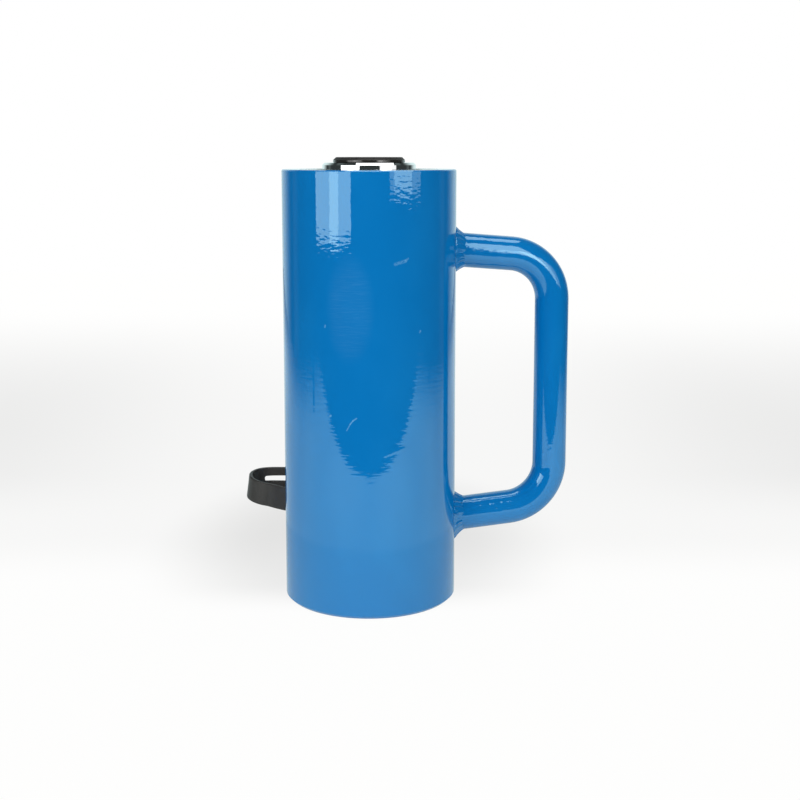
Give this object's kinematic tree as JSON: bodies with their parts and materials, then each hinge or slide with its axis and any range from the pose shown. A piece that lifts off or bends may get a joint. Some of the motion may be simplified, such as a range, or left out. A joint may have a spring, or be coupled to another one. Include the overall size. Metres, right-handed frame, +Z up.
{
  "type": "single acting hydraulic cylinder",
  "caption": "Spring return hydraulic ram: round painted body with a bar handle at its side, chromed plunger with a swivelling saddle, and a rear quick coupler with a strapped dust cap.",
  "frame": {"origin": "centre of the body's base face", "axes": "+Z up along the plunger, +X to the carrying handle, +Y along the quick coupler"},
  "size_m": [0.2393, 0.1705, 0.3262],
  "materials": {
    "blue_paint": "gloss blue enamel over steel, faint orange peel",
    "chrome_plate": "hard chrome, ground and polished round",
    "black_oxide": "hardened steel with black oxide",
    "machined_steel": "turned steel",
    "zinc_plate": "turned steel, zinc plated",
    "spring_steel": "drawn spring wire, oiled",
    "brass": "turned brass",
    "bearing_plastic": "filled bearing plastic",
    "seal_rubber": "smooth moulded seal rubber",
    "cap_plastic": "moulded black plastic",
    "strap_rubber": "moulded dark grey rubber, satin"
  },
  "bodies": {
    "root": {"barrel": "blue_paint", "gland_ring": "machined_steel", "rod_wiper": "seal_rubber", "plunger_bearing": "bearing_plastic", "lower_spring_anchor": "machined_steel", "return_spring": "spring_steel", "handle": "blue_paint", "handle_weld_upper": "blue_paint", "handle_weld_lower": "blue_paint", "coupler_body": "zinc_plate", "coupler_insert": "zinc_plate", "coupler_seal": "seal_rubber", "poppet_spring": "spring_steel", "collar_snap_ring": "spring_steel", "cap_strap": "strap_rubber"},
    "plunger": {"plunger": "chrome_plate", "piston_head": "machined_steel", "piston_seal": "seal_rubber", "piston_backup_ring": "bearing_plastic", "piston_wear_band": "bearing_plastic", "piston_lock_ring": "spring_steel", "plunger_static_seal": "seal_rubber", "upper_spring_anchor": "machined_steel"},
    "saddle": {"saddle": "black_oxide", "saddle_retaining_ring": "spring_steel"},
    "coupler_collar": {"coupler_collar": "zinc_plate"},
    "dust_cap": {"dust_cap": "cap_plastic"},
    "coupler_poppet": {"coupler_poppet": "brass"}
  },
  "joints": [
    {"name": "plunger_slide", "type": "slide", "parent": "root", "child": "plunger", "axis": [0, 0, 1], "range_m": [0, 0.203], "stiffness_N_per_m": 600, "springref_m": -0.35, "deforming": ["return_spring"]},
    {"name": "saddle_swivel", "type": "hinge", "parent": "plunger", "child": "saddle", "pos_m": [0, 0, 0.3262], "axis": [0, 0, 1], "continuous": true},
    {"name": "collar_spin", "type": "hinge", "parent": "root", "child": "coupler_collar", "pos_m": [0, 0.088, 0.048], "axis": [0, 1, 0], "continuous": true},
    {"name": "cap_pull", "type": "slide", "parent": "root", "child": "dust_cap", "axis": [0, 1, 0], "range_m": [0, 0.025], "deforming": ["cap_strap"]},
    {"name": "poppet_press", "type": "slide", "parent": "root", "child": "coupler_poppet", "axis": [0, -1, 0], "range_m": [0, 0.003], "stiffness_N_per_m": 800, "springref_m": -0.004, "deforming": ["poppet_spring"]}
  ]
}
